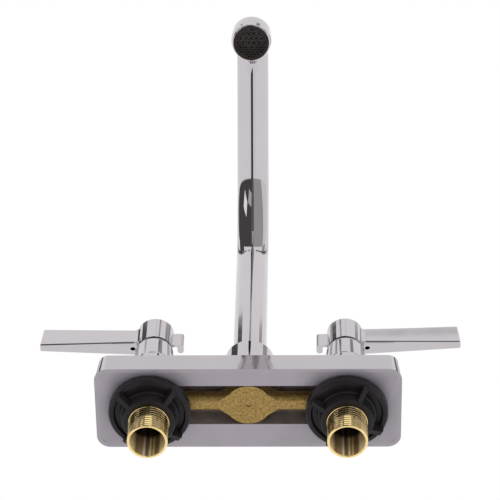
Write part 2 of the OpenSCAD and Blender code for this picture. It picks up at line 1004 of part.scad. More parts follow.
module spout_nut() {
    edge = 0.6;
    color(chrome)
        difference() {
            union() {
                rod(spout_nut_r, base_h, spout_nut_top - edge);
                translate([0, 0, spout_nut_top - edge])
                    cylinder(r1 = spout_nut_r, r2 = spout_nut_r - edge, h = edge);
            }
            rod(spout_neck_r + seat_gap, base_h - cut, spout_nut_ceiling);
            rod(tube_r + running_gap, spout_nut_ceiling - cut, spout_nut_top + cut);
        }
}

// The washer lies between the adapter's collar and the nut's ceiling
module spout_thrust_washer() {
    color(white_plastic)
        ring(spout_neck_r - free_gap, tube_r + face_gap, washer_z, spout_nut_ceiling);
}

// The adapter turns in the manifold's socket and carries the tube
module spout_adapter() {
    body_r = spout_socket_r - running_gap;
    groove_r = body_r - 2 * seal_cord_r - face_gap;
    groove_h = 2 * seal_cord_r + face_gap;
    color(bright_brass)
        difference() {
            union() {
                rod(body_r, adapter_z, adapter_collar_z);
                rod(adapter_collar_r, adapter_collar_z, tube_z);
                rod(tube_bore_r - seat_gap, tube_z, tube_z + adapter_spigot_h);
            }
            rod(adapter_bore_r, adapter_z - cut, tube_z + adapter_spigot_h + cut);
            for (z = spout_seal_z)
                ring(body_r + cut, groove_r, z - groove_h / 2, z + groove_h / 2);
        }
}

module spout_seals() {
    color(rubber)
        for (z = spout_seal_z)
            round_seal(spout_socket_r - running_gap / 2 - seal_cord_r, z);
}

// Points across a tube at a radius, one ring at each station of its centreline
function ring_points(r) = [
    for (s = tube_stations)
        for (j = [0 : tube_sides - 1])
            s[0] + r * cos(j * 360 / tube_sides) * [1, 0, 0] + r * sin(j * 360 / tube_sides) * radial(s[1])
];

// The two triangles between corners a, b, c and d of a panel
function panel(a, b, c, d) = [[a, d, c], [a, c, b]];

// One bent tube: riser, bend, reach, outlet bend and stub, swept as a closed shell
module spout_tube() {
    n = tube_sides;
    last = len(tube_stations) - 1;
    inner = n * (last + 1);
    walls = [
        for (i = [0 : last - 1])
            for (j = [0 : n - 1])
                let (a = i * n + j, b = i * n + (j + 1) % n)
                    each concat(
                        panel(a, b, b + n, a + n),
                        panel(inner + b, inner + a, inner + a + n, inner + b + n)
                    )
    ];
    ends = [
        for (j = [0 : n - 1])
            let (k = (j + 1) % n, top = last * n)
                each concat(
                    panel(inner + j, inner + k, k, j),
                    panel(top + j, top + k, inner + top + k, inner + top + j)
                )
    ];
    color(chrome)
        polyhedron(
            points = concat(ring_points(tube_r), ring_points(tube_bore_r)),
            faces = concat(walls, ends),
            convexity = 6
        );
}

// Half section of the aerator housing, measured from the end of the outlet bend
module housing_section() {
    socket_r = tube_r + seat_gap;
    shoulder_r = housing_r - socket_r - 0.2;
    shoulder_x = housing_r - shoulder_r;
    shoulder_w = housing_w + shoulder_r;
    front_w = 4;
    lip = 0.5;
    chamber_r = insert_r + seat_gap;
    stop_r = tube_bore_r - 0.4;
    polygon([
        [socket_r, housing_w],
        [shoulder_x, housing_w],
        [shoulder_x, shoulder_w],
        [housing_r, shoulder_w],
        [housing_r, housing_end_w - front_w],
        [housing_front_r, housing_end_w - lip],
        [housing_front_r - lip / 2, housing_end_w],
        [chamber_r, housing_end_w],
        [chamber_r, gasket_w],
        [stop_r, gasket_w],
        [stop_r, stop_w],
        [socket_r, stop_w]
    ]);
    intersection() {
        translate([shoulder_x, shoulder_w])
            circle(r = shoulder_r);
        translate([shoulder_x, housing_w])
            square([shoulder_r, shoulder_r]);
    }
}

module aerator_housing() {
    color(chrome)
        on_outlet()
            rotate_extrude()
                housing_section();
}

module aerator_gasket() {
    color(rubber)
        on_outlet()
            ring(insert_r - seat_gap, insert_r - insert_wall - 1, gasket_w, screen_w);
}

// A triangular field of small holes inside a radius
module hole_field(r, pitch, hole_r, z0, z1) {
    rows = floor(r / (pitch * sin(60)));
    for (row = [-rows : rows])
        for (column = [-2 * rows : 2 * rows]) {
            x = (column + (row % 2 == 0 ? 0 : 0.5)) * pitch;
            y = row * pitch * sin(60);
            if (norm([x, y]) < r - hole_r)
                translate([x, y, z0])
                    cylinder(r = hole_r, h = z1 - z0, $fn = 6);
        }
}

module aerator_screen() {
    color(steel)
        on_outlet()
            difference() {
                rod(insert_r - seat_gap, screen_w, insert_w);
                hole_field(
                    insert_r - insert_wall, 2 * grid_pitch, grid_hole / 2,
                    screen_w - cut, insert_w + cut
                );
            }
}

// The insert: a short cup whose floor is the outlet grid
module aerator_insert() {
    bore_r = insert_r - insert_wall;
    grid_w = housing_end_w - grid_t;
    hub_r = 0.8;
    color(aerator_plastic)
        on_outlet()
            difference() {
                rod(insert_r, insert_w, housing_end_w);
                rod(bore_r, insert_w - cut, grid_w);
                difference() {
                    hole_field(bore_r, grid_pitch, grid_hole / 2, grid_w - cut, housing_end_w + cut);
                    rod(hub_r, grid_w - 2 * cut, housing_end_w + 2 * cut);
                }
            }
}

base_body();
brass_manifold();
left_inlet_shank();
right_inlet_shank();
left_mounting_nut();
right_mounting_nut();
left_bonnet_gasket();
right_bonnet_gasket();
left_bonnet();
right_bonnet();
left_seat_seal();
right_seat_seal();
left_fixed_disc();
right_fixed_disc();
left_cartridge_body();
right_cartridge_body();
left_moving_disc();
right_moving_disc();
left_stem();
right_stem();
left_stem_seal();
right_stem_seal();
left_lever();
right_lever();
left_set_screw();
right_set_screw();
spout_nut();
spout_thrust_washer();
spout_adapter();
spout_seals();
spout_tube();
aerator_housing();
aerator_gasket();
aerator_screen();
aerator_insert();
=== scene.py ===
import json
from math import sin, cos, tan, pi, radians

import bmesh
import bpy
from mathutils import Matrix, Vector


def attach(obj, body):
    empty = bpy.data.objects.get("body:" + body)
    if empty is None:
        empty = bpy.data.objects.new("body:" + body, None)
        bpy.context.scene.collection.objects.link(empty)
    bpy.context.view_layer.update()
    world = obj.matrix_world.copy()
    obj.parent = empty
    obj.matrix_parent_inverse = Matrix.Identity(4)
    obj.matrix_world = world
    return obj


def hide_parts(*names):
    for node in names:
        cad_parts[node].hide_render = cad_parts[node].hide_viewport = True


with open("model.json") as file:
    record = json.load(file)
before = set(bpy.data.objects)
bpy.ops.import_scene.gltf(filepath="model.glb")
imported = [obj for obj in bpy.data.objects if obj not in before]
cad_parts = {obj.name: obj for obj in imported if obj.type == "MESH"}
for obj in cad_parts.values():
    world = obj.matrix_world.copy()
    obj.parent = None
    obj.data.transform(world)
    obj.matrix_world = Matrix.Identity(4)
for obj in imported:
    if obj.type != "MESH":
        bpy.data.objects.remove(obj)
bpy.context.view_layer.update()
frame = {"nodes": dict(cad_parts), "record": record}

scene = bpy.context.scene
scene.view_settings.view_transform = "Standard"

# Pieces are in millimetres and degrees; lens clipping, bump, floor and lamps are in metres
MM = 0.001
SLOT = {part["node"]: part["material_slot"] for part in frame["record"]["subparts"]}
BODY = {node: body for body, nodes in frame["record"]["behaviour"]["bodies"].items() for node in nodes}
SIDES = {"left": -1, "right": 1}
SHANK_X = 50.8

# Camera, fitted to points of the shanks, base and levers in the photograph
CAMERA_PLACE = (28.870, -783.237, -1091.940)
CAMERA_PITCH, CAMERA_AZIMUTH, CAMERA_ROLL = 57.814, -2.228, 1.731
SENSOR_WIDTH, LENS = 36.0, 187.2
CLIP_START, CLIP_END = 0.05, 20.0


def add_camera():
    data = bpy.data.cameras.new("camera")
    data.sensor_fit = "HORIZONTAL"
    data.sensor_width = SENSOR_WIDTH
    data.lens = LENS
    data.clip_start = CLIP_START
    data.clip_end = CLIP_END
    camera = bpy.data.objects.new("camera", data)
    scene.collection.objects.link(camera)
    pitch, azimuth, roll = radians(CAMERA_PITCH), radians(CAMERA_AZIMUTH), radians(CAMERA_ROLL)
    forward = Vector((sin(azimuth) * cos(pitch), cos(azimuth) * cos(pitch), sin(pitch)))
    level = Vector((cos(azimuth), -sin(azimuth), 0))
    above = level.cross(forward)
    right = cos(roll) * level + sin(roll) * above
    up = cos(roll) * above - sin(roll) * level
    axes = Matrix((right, up, -forward)).transposed().to_4x4()
    camera.matrix_world = Matrix.Translation(Vector(CAMERA_PLACE) * MM) @ axes
    scene.camera = camera


add_camera()


# Node helpers
def feed(tree, socket, value):
    """Link a result to an input, or set the input to a constant."""
    if isinstance(value, bpy.types.NodeSocket):
        tree.links.new(value, socket)
    else:
        socket.default_value = value


def new_node(tree, kind, inputs, **settings):
    """A node with its settings made and its inputs, by name or number, linked or set."""
    node = tree.nodes.new(kind)
    for name, value in settings.items():
        setattr(node, name, value)
    for key, value in inputs.items():
        feed(tree, node.inputs[key], value)
    return node


def maths(tree, operation, *values):
    return new_node(tree, "ShaderNodeMath", dict(enumerate(values)), operation=operation).outputs[0]


def map_range(tree, value, start, end, low=0.0, high=1.0, interpolation="LINEAR"):
    inputs = {"Value": value, "From Min": start, "From Max": end, "To Min": low, "To Max": high}
    node = new_node(tree, "ShaderNodeMapRange", inputs, interpolation_type=interpolation)
    return node.outputs["Result"]


def split(tree, vector):
    """The X, Y and Z of a vector."""
    return new_node(tree, "ShaderNodeSeparateXYZ", {0: vector}).outputs


# Most of a noise texture's values lie between these two
NOISE_LOW, NOISE_HIGH = 0.3, 0.7


class Surface:
    """A material whose colour, roughness and bump come from noise in the piece's own space."""

    def __init__(self, name, **constants):
        self.material = bpy.data.materials.new(name)
        self.material.use_nodes = True
        self.tree = self.material.node_tree
        self.shader = self.tree.nodes["Principled BSDF"]
        self.places = self.tree.nodes.new("ShaderNodeTexCoord").outputs
        for key, value in constants.items():
            self.drive(key.replace("_", " "), value)

    def drive(self, key, value):
        feed(self.tree, self.shader.inputs[key], value)

    def noise(self, scale, detail=3.0, rough=0.5, stretch=None):
        place = self.places["Object"]
        if stretch:
            place = new_node(self.tree, "ShaderNodeMapping", {"Vector": place, "Scale": stretch}).outputs[0]
        inputs = {"Vector": place, "Scale": scale, "Detail": detail, "Roughness": rough}
        return new_node(self.tree, "ShaderNodeTexNoise", inputs).outputs["Fac"]

    def ramp(self, value, stops):
        node = new_node(self.tree, "ShaderNodeValToRGB", {"Fac": value})
        elements = node.color_ramp.elements
        while len(elements) < len(stops):
            elements.new(0.5)
        for i, (position, colour) in enumerate(stops):
            elements[i].position = position
            elements[i].color = (*colour, 1)
        return node.outputs["Color"]

    def tones(self, value, dark, light):
        self.drive("Base Color", self.ramp(value, [(NOISE_LOW, dark), (NOISE_HIGH, light)]))

    def roughness(self, value, low, high):
        self.drive("Roughness", map_range(self.tree, value, NOISE_LOW, NOISE_HIGH, low, high))

    def bump(self, value, strength, distance):
        inputs = {"Height": value, "Strength": strength, "Distance": distance}
        self.drive("Normal", new_node(self.tree, "ShaderNodeBump", inputs).outputs["Normal"])


# Materials
def chrome():
    s = Surface("chrome_plate", Metallic=1.0)
    s.tones(s.noise(35.0, 2.0), (0.560, 0.530, 0.555), (0.580, 0.552, 0.575))
    s.roughness(s.noise(140.0, 4.0), 0.03, 0.06)
    s.bump(s.noise(45.0, 2.0), 0.03, 0.0003)
    return s.material


def satin_chrome():
    """The base's underside: plated over a casting that isn't polished."""
    s = Surface("satin_chrome", Metallic=0.25, IOR=1.5)
    s.tones(s.noise(60.0, 4.0), (0.40, 0.365, 0.405), (0.44, 0.40, 0.445))
    s.roughness(s.noise(200.0, 4.0), 0.42, 0.52)
    s.bump(s.noise(400.0, 4.0), 0.05, 0.0002)
    return s.material


def dark_channel_metal():
    """The walls and roof of the channel: a darker, duller metal than the chrome round it."""
    s = Surface("dark_channel_metal", Metallic=0.6)
    s.tones(s.noise(150.0, 5.0), (0.32, 0.278, 0.26), (0.46, 0.405, 0.38))
    s.roughness(s.noise(300.0), 0.30, 0.42)
    s.bump(s.noise(900.0, 4.0), 0.1, 0.0002)
    return s.material


def cast_brass():
    """Sand-cast brass: dark pits, mid tones and bright grains."""
    s = Surface("cast_brass", Metallic=0.85)
    s.drive("Base Color", s.ramp(s.noise(700.0, 6.0, 0.75), [
        (0.32, (0.16, 0.095, 0.025)), (0.5, (0.36, 0.235, 0.075)),
        (0.64, (0.52, 0.36, 0.13)), (0.78, (0.85, 0.66, 0.30))]))
    s.roughness(s.noise(900.0, 4.0), 0.28, 0.50)
    s.bump(s.noise(1400.0, 6.0, 0.75), 0.75, 0.0004)
    return s.material


def turned_brass():
    s = Surface("turned_brass", Metallic=1.0)
    s.tones(s.noise(260.0, 4.0), (0.88, 0.66, 0.28), (0.96, 0.75, 0.37))
    s.roughness(s.noise(1500.0, stretch=(1, 1, 6)), 0.05, 0.08)
    return s.material


# Painted reflections round the back half of a bore, as bright and dark stripes from its right side to its
# left, in five tones
PALE, BRIGHT, GOLD = (1.0, 0.97, 0.86), (1.0, 0.86, 0.55), (0.85, 0.67, 0.37)
TAN, BROWN = (0.40, 0.30, 0.16), (0.24, 0.175, 0.10)
BORE_PAINTED_REFLECTIONS = [
    (0.10, BRIGHT), (0.24, BRIGHT), (0.30, BROWN), (0.37, BROWN), (0.395, GOLD), (0.43, BROWN),
    (0.465, BRIGHT), (0.50, BROWN), (0.545, BROWN), (0.575, PALE), (0.61, TAN), (0.66, TAN),
    (0.74, BROWN), (0.80, GOLD), (0.86, BRIGHT),
]

# Painted shade in a bore over the shank's height, from the mouth up: lighter at the mouth, darker deeper in
BORE_PAINTED_SHADE = [
    (0.10, (1.0, 1.0, 1.0)), (0.44, (0.85, 0.82, 0.80)),
    (0.54, (0.09, 0.08, 0.08)), (1.0, (0.05, 0.04, 0.04)),
]


def bored_brass():
    """The shanks' bores: painted reflections drawn along the bore as bright and dark stripes, and painted
    shade that darkens it towards its end.
    """
    s = Surface("bored_brass", Metallic=0.5, Roughness=0.28)
    x, y, z = split(s.tree, s.places["Generated"])
    across = maths(s.tree, "SUBTRACT", x, 0.5)
    deep = maths(s.tree, "SUBTRACT", y, 0.5)
    turn = maths(s.tree, "ARCTAN2", deep, across)
    # Painted reflections: bright and dark stripes by the angle round the bore
    painted_reflections = s.ramp(map_range(s.tree, turn, 0.0, pi), BORE_PAINTED_REFLECTIONS)
    mix = new_node(s.tree, "ShaderNodeMix", {0: 1.0}, data_type="RGBA", blend_type="MULTIPLY")
    first, second = [i for i in mix.inputs if i.type == "RGBA"]
    feed(s.tree, first, painted_reflections)
    # Painted shade, darker deeper in the bore
    feed(s.tree, second, s.ramp(z, BORE_PAINTED_SHADE))
    s.drive("Base Color", [o for o in mix.outputs if o.type == "RGBA"][0])
    return s.material


def plastic(name, dark, light, rough=(0.35, 0.5), grain=1800.0, specular=0.5):
    """A moulded or lapped surface that isn't metal."""
    s = Surface(name, IOR=1.48, Specular_IOR_Level=specular)
    s.tones(s.noise(120.0, 4.0), dark, light)
    s.roughness(s.noise(300.0), *rough)
    s.bump(s.noise(grain), 0.12, 0.0002)
    return s.material


def black_plastic():
    dark, light = (0.013, 0.011, 0.012), (0.021, 0.018, 0.020)
    return plastic("black_plastic", dark, light, (0.30, 0.42), specular=0.22)


def dark_plastic():
    dark, light = (0.016, 0.011, 0.010), (0.030, 0.022, 0.020)
    return plastic("dark_plastic", dark, light, (0.3, 0.45), 2500.0, specular=0.2)


def white_plastic():
    return plastic("white_plastic", (0.75, 0.75, 0.73), (0.84, 0.84, 0.82))


def seal_rubber():
    return plastic("seal_rubber", (0.015, 0.015, 0.015), (0.03, 0.03, 0.03), (0.6, 0.8))


def ceramic():
    return plastic("ceramic", (0.80, 0.79, 0.75), (0.88, 0.87, 0.84), (0.15, 0.25))


def steel():
    s = Surface("stainless_steel", Metallic=1.0)
    s.tones(s.noise(200.0), (0.28, 0.27, 0.27), (0.38, 0.37, 0.37))
    s.roughness(s.noise(2000.0, 2.0, stretch=(1, 1, 8)), 0.2, 0.35)
    return s.material


MATERIALS = {
    "chrome_plate": chrome(),
    "satin_chrome": satin_chrome(),
    "dark_channel_metal": dark_channel_metal(),
    "cast_brass": cast_brass(),
    "turned_brass": turned_brass(),
    "bored_brass": bored_brass(),
    "black_plastic": black_plastic(),
    "dark_plastic": dark_plastic(),
    "white_plastic": white_plastic(),
    "seal_rubber": seal_rubber(),
    "ceramic": ceramic(),
    "stainless_steel": steel(),
}


# Outlines and meshes
SHARP_ANGLE = 32.0
LATHE_SIDES = 128
CORNER_STEPS = 5

# A rounded corner takes at most this share of the shorter side beside it
CORNER_SHARE = 0.49


def turns(count):
    """Equal steps of one turn, in radians."""
    return [2 * pi * j / count for j in range(count)]


def arc(centre_r, centre_z, radius, start, end, steps):
    """Points of an arc in a half section, with angles from the outward direction."""
    angles = [radians(start + (end - start) * i / steps) for i in range(steps + 1)]
    return [(centre_r + radius * cos(a), centre_z + radius * sin(a)) for a in angles]


def rounded(corners):
    """A closed outline from corners of r, z and the radius that rounds them."""
    outline = []
    points = [Vector((r, z)) for r, z, radius in corners]
    for i, corner in enumerate(points):
        radius = corners[i][2]
        if radius <= 0:
            outline.append((corner.x, corner.y))
            continue
        before, after = points[i - 1] - corner, points[(i + 1) % len(points)] - corner
        longest = CORNER_SHARE * min(before.length, after.length)
        before.normalize()
        after.normalize()
        half = before.angle(after) / 2
        cut = min(radius / tan(half), longest)
        centre = corner + (before + after).normalized() * (cut * tan(half) / sin(half))
        start, end = corner + before * cut - centre, corner + after * cut - centre
        sweep = start.angle_signed(end)
        for k in range(CORNER_STEPS + 1):
            t = -sweep * k / CORNER_STEPS
            outline.append((centre.x + start.x * cos(t) - start.y * sin(t),
                            centre.y + start.x * sin(t) + start.y * cos(t)))
    return outline


def link_mesh(node, mesh):
    """An object in the scene for a mesh that stands for a CAD node, in the node's material."""
    obj = bpy.data.objects.new(node + "_skin", mesh)
    scene.collection.objects.link(obj)
    mesh.materials.clear()
    mesh.materials.append(MATERIALS[SLOT[node]])
    return obj


def shade(mesh, angle):
    """Smooth faces, with the edges sharper than an angle kept sharp."""
    mesh.polygons.foreach_set("use_smooth", [True] * len(mesh.polygons))
    mesh.set_sharp_from_angle(angle=radians(angle))
    mesh.update()


def from_rings(node, rings, angle=SHARP_ANGLE):
    """A closed mesh from rings of points, each joined to the next and the last to the first."""
    sides = len(rings[0])
    faces = []
    for i in range(len(rings)):
        a, b = i * sides, (i + 1) % len(rings) * sides
        for j in range(sides):
            k = (j + 1) % sides
            faces.append((a + j, a + k, b + k, b + j))
    mesh = bpy.data.meshes.new(node + "_skin")
    mesh.from_pydata([point for ring in rings for point in ring], [], faces)
    bm = bmesh.new()
    bm.from_mesh(mesh)
    bmesh.ops.recalc_face_normals(bm, faces=bm.faces)
    bm.to_mesh(mesh)
    bm.free()
    shade(mesh, angle)
    return link_mesh(node, mesh)


def follow_large_faces(obj):
    """Normals taken from the large faces, so that a wall beside a rounded edge reflects as flat."""
    flat = obj.modifiers.new("flat faces", "WEIGHTED_NORMAL")
    flat.keep_sharp = True
    return obj


def add_finish(obj, material):
    """A further material on a piece, and the index that its faces take it by."""
    obj.data.materials.append(MATERIALS[material])
    return len(obj.data.materials) - 1


def stand_for(obj, node):
    body = BODY[node]
    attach(obj, body)
    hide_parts(node)
    return obj


def lathe(node, outline, place=Matrix.Identity(4)):
    """A piece turned about Z from a closed half section of r and z, then moved to its place."""
    rings = []
    for r, z in outline:
        rings.append([place @ Vector((r * cos(t), r * sin(t), z)) * MM for t in turns(LATHE_SIDES)])
    return from_rings(node, rings)


# Copies of CAD nodes with eased edges
WELD_GAP = 0.002
FLAT_ANGLE = 0.5
EDGE_ANGLE, LONG_EDGE_ANGLE = 30.0, 60.0
LONG_EDGE = 30.0
LONG_EDGE_SEGMENTS = 4


def is_edge(edge, angle):
    """Whether two faces meet at an edge, turned from each other by more than an angle."""
    return len(edge.link_faces) == 2 and edge.calc_face_angle(0) > radians(angle)


def ease(bm, edges, width, segments, clamp):
    bmesh.ops.bevel(bm, geom=edges, offset=width * MM, segments=segments, profile=0.5,
                    affect="EDGES", clamp_overlap=clamp)


def long_edges(bm):
    """The long sharp edges, and the sharp ones that join their ends."""
    found = [e for e in bm.edges if e.calc_length() > LONG_EDGE * MM and is_edge(e, LONG_EDGE_ANGLE)]
    ends = {v for e in found for v in e.verts}
    for e in bm.edges:
        if e not in found and all(v in ends for v in e.verts) and is_edge(e, LONG_EDGE_ANGLE):
            found.append(e)
    return found


def clean_copy(node, width, segments, long_width=0.0):
    """A copy of a CAD node with its flat faces whole and its edges eased, the long ones more."""
    bm = bmesh.new()
    bm.from_mesh(frame["nodes"][node].data)
    bmesh.ops.remove_doubles(bm, verts=bm.verts, dist=WELD_GAP * MM)
    bmesh.ops.dissolve_limit(bm, angle_limit=radians(FLAT_ANGLE), verts=bm.verts, edges=bm.edges)
    if long_width:
        ease(bm, long_edges(bm), long_width, LONG_EDGE_SEGMENTS, False)
    ease(bm, [e for e in bm.edges if is_edge(e, EDGE_ANGLE)], width, segments, True)
    mesh = bpy.data.meshes.new(node + "_skin")
    bm.to_mesh(mesh)
    bm.free()
    shade(mesh, SHARP_ANGLE)
    return stand_for(follow_large_faces(link_mesh(node, mesh)), node)


# Every CAD node gets its material, and the pieces made below stand for those that show most
for node, solid in frame["nodes"].items():
    solid.data.materials.clear()
    solid.data.materials.append(MATERIALS[SLOT[node]])

# Spout tube: riser, lower bend, reach and outlet bend, in the plane of Y and Z
TUBE_R, TUBE_BORE_R, TUBE_SIDES = 8.9, 7.9, 96
TUBE_FOOT_Z = 38.2
TURNING_GAP, SEAT_GAP = 0.07, 0.08
BEND_Z, BEND_R, BEND_ANGLE = 137.0, 60.0, 58.0
REACH = 57.8
OUTLET_R, OUTLET_ANGLE, OUTLET_STUB = 22.0, 168.0, 4.5
RISER_STEPS, BEND_STEPS, REACH_STEPS, OUTLET_STEPS = 24, 40, 14, 56


def outward(angle):
    """The direction from a bend's centre to the tube, at an angle round the bend."""
    return Vector((0, cos(radians(angle)), sin(radians(angle))))


def along(angle):
    """The tube's direction at an angle from plumb."""
    return Vector((0, -sin(radians(angle)), cos(radians(angle))))


BEND_CENTRE = Vector((0, -BEND_R, BEND_Z))
REACH_START = BEND_CENTRE + BEND_R * outward(BEND_ANGLE)
OUTLET_CENTRE = BEND_CENTRE + (BEND_R - OUTLET_R) * outward(BEND_ANGLE) + REACH * along(BEND_ANGLE)
STUB_START = OUTLET_CENTRE + OUTLET_R * outward(OUTLET_ANGLE)
OUTLET = Matrix.Translation(STUB_START) @ Matrix.Rotation(radians(OUTLET_ANGLE), 4, "X")


def spout_line():
    """Points of the spout's centre line from its foot, each with its angle from plumb."""
    line = []
    for i in range(RISER_STEPS):
        line.append((Vector((0, 0, TUBE_FOOT_Z + (BEND_Z - TUBE_FOOT_Z) * i / RISER_STEPS)), 0.0))
    for i in range(BEND_STEPS + 1):
        angle = BEND_ANGLE * i / BEND_STEPS
        line.append((BEND_CENTRE + BEND_R * outward(angle), angle))
    for i in range(1, REACH_STEPS):
        line.append((REACH_START + along(BEND_ANGLE) * REACH * i / REACH_STEPS, BEND_ANGLE))
    for i in range(OUTLET_STEPS + 1):
        angle = BEND_ANGLE + (OUTLET_ANGLE - BEND_ANGLE) * i / OUTLET_STEPS
        line.append((OUTLET_CENTRE + OUTLET_R * outward(angle), angle))
    line.append((STUB_START + along(OUTLET_ANGLE) * OUTLET_STUB, OUTLET_ANGLE))
    return line


def spout_tube():
    """The tube's outside up the centre line, then its bore back down."""
    line = spout_line()
    rings = []
    for r, stations in ((TUBE_R, line), (TUBE_BORE_R, line[::-1])):
        for point, angle in stations:
            rings.append([(point + Vector((r * cos(t), 0, 0)) + r * sin(t) * outward(angle)) * MM
                          for t in turns(TUBE_SIDES)])
    stand_for(from_rings("spout_tube", rings), "spout_tube")


def spout_nut():
    """A plain collar with a lip round the tube and a wider bore below it."""
    outside_r, bore_r, lip_r = 13.0, 10.98, TUBE_R + TURNING_GAP
    foot_z, lip_z, top_z = 15.6, 40.0, 43.6
    outline = rounded([
        (outside_r, foot_z, 0.4), (outside_r, top_z, 0.7), (lip_r, top_z, 0.25),
        (lip_r, lip_z, 0), (bore_r, lip_z, 0), (bore_r, foot_z, 0.2)])
    stand_for(follow_large_faces(lathe("spout_nut", outline)), "spout_nut")


def aerator_housing():
    """A cup on the tube's end with a rounded shoulder, a web inside and a mouth drawn in."""
    outside_r, tube_hole_r, bore_r, web_r = 11.15, TUBE_R + SEAT_GAP, 9.88, 7.5
    start_z, web_start_z, web_end_z, mouth_z = 1.0, 4.5, 5.1, 17.5
    shoulder, shoulder_steps = 1.97, 8
    corners = [(tube_hole_r, start_z, 0)]
    for r, z in arc(outside_r - shoulder, start_z + shoulder, shoulder, 270, 360, shoulder_steps):
        corners.append((r, z, 0))
    corners += [(outside_r, 13.5, 2.0), (10.53, 16.6, 0.3), (10.35, 17.2, 0.3), (10.02, mouth_z, 0.2)]
    corners += [(bore_r, mouth_z, 0.1), (bore_r, web_end_z, 0), (web_r, web_end_z, 0)]
    corners += [(web_r, web_start_z, 0), (tube_hole_r, web_start_z, 0)]
    stand_for(lathe("aerator_housing", rounded(corners), OUTLET), "aerator_housing")


def bonnet(side):
    """A bell with a filleted foot, a groove under its slightly tapering head and a round top."""
    foot_r, groove_r, head_r, top_r = 13.3, 10.3, 11.2, 10.4
    bore_r, stem_r = 10.08, 6.6
    foot_z, flange_z, skirt_z, groove_z = 16.3, 18.1, 34.2, 34.85
    roof_z, head_z, edge_z = 35.3, 35.5, 48.6
    fillet, fillet_steps, edge, edge_steps = 1.6, 8, 3.0, 12
    outline = [(bore_r, foot_z), (foot_r, foot_z), (foot_r, flange_z)]
    outline += arc(foot_r, flange_z + fillet, fillet, 270, 180, fillet_steps)[1:]
    outline += [(foot_r - fillet, skirt_z), (groove_r, skirt_z), (groove_r, groove_z)]
    outline += [(head_r, head_z), (top_r, edge_z)]
    outline += arc(top_r - edge, edge_z, edge, 0, 90, edge_steps)[1:]
    outline += [(stem_r, edge_z + edge), (stem_r, roof_z), (bore_r, roof_z)]
    node = side + "_bonnet"
    place = Matrix.Translation((SHANK_X * SIDES[side], 0, 0))
    stand_for(follow_large_faces(lathe(node, outline, place)), node)


# Inlet shanks, threaded 14 turns to the inch with wide flat crests and shallow grooves
THREAD_PITCH, GROOVE_DEPTH = 25.4 / 14, 0.15
CREST_SHARE, FLANK_SHARE = 0.76, 0.22
SHANK_TIP_Z, SHANK_TOP_Z, THREAD_TOP_Z, STEP_Z = -29.3, 1.5, -1.0, -13.2
SHANK_R, SHANK_END_R, SHANK_TIP_R, THREAD_RELIEF = 10.53, 10.36, 9.96, 0.1
SHANK_BORE_R, PORT_R, SEAT_R = 8.9, 4.5, 8.22
BORE_END_Z, SEAT_Z = -4.0, 3.0
SHANK_SIDES, ROW_HEIGHT, TOP_GAP = 96, 0.1, 0.4
THREAD_SHARP_ANGLE = 50.0

# The bore's mouth: how much wider than the bore, and how high above the tip
BORE_MOUTH = [(0.0, 0.4), (0.2, 0.1), (0.4, 0.0)]

# Faces inside this radius and between these heights take the bore's material, with its painted reflections
# and painted shade
BORED_R, BORED_FROM_Z, BORED_TO_Z = 9.0, -29.0, 2.0


def shank_radius(z, turn):
    """The outside's radius at a height and a share of one turn."""
    crest = SHANK_END_R if z < STEP_Z else SHANK_R
    if z > THREAD_TOP_Z:
        return crest - THREAD_RELIEF
    from_crest = abs((z / THREAD_PITCH - turn) % 1.0 - 0.5) * 2
    cutting = min(max((from_crest - CREST_SHARE) / FLANK_SHARE, 0.0), 1.0)
    return min(crest - GROOVE_DEPTH * cutting, SHANK_TIP_R + (z - SHANK_TIP_Z))


def inlet_shank(side):
    """The threaded outside from the tip up, then the seat, the port and the bore back down."""
    node = side + "_inlet_shank"
    x = SHANK_X * SIDES[side]

    def ring(z, radii):
        return [(Vector((x, 0, z)) + r * Vector((cos(t), sin(t), 0))) * MM
                for r, t in zip(radii, turns(SHANK_SIDES))]

    height = SHANK_TOP_Z - TOP_GAP - SHANK_TIP_Z
    rows = int(height / ROW_HEIGHT)
    rings = []
    for i in range(rows + 1):
        z = SHANK_TIP_Z + height * i / rows
        rings.append(ring(z, [shank_radius(z, j / SHANK_SIDES) for j in range(SHANK_SIDES)]))
    inside = [(SHANK_R - THREAD_RELIEF, SHANK_TOP_Z), (SEAT_R, SHANK_TOP_Z), (SEAT_R, SEAT_Z)]
    inside += [(PORT_R, SEAT_Z), (PORT_R, BORE_END_Z), (SHANK_BORE_R, BORE_END_Z)]
    inside += [(SHANK_BORE_R + wider, SHANK_TIP_Z + higher) for wider, higher in BORE_MOUTH]
    for r, z in inside:
        rings.append(ring(z, [r] * SHANK_SIDES))
    shank = from_rings(node, rings, THREAD_SHARP_ANGLE)
    bored = add_finish(shank, "bored_brass")
    for face in shank.data.polygons:
        from_axis = Vector((face.center.x / MM - x, face.center.y / MM)).length
        if from_axis < BORED_R and BORED_FROM_Z < face.center.z / MM < BORED_TO_Z:
            face.material_index = bored
    stand_for(shank, node)


def base_body():
    """Satin plating on the underside and a darker, duller metal in the channel; the rest is polished."""
    channel_half_width, wall_foot_z, wall_top_z, roof_z, rim_z = 12.2, 1.0, 14.0, 8.0, 4.0

    # How far down a face looks, from 0 to 1
    wall_limit, roof_limit, rim_limit = 0.5, 0.9, 0.85

    base = clean_copy("base_body", 0.35, 3)
    satin = add_finish(base, "satin_chrome")
    dark_channel = add_finish(base, "dark_channel_metal")
    for face in base.data.polygons:
        y, z, down = face.center.y / MM, face.center.z / MM, -face.normal.z
        wall = abs(down) < wall_limit and abs(y) < channel_half_width and wall_foot_z < z < wall_top_z
        if wall or (down > roof_limit and z > roof_z):
            face.material_index = dark_channel
        elif down > rim_limit and z < rim_z:
            face.material_index = satin


def brass_manifold():
    clean_copy("brass_manifold", 0.3, 2)


def mounting_nut(side):
    clean_copy(side + "_mounting_nut", 0.5, 3)


def lever(side):
    clean_copy(side + "_lever", 0.3, 2, long_width=0.8)


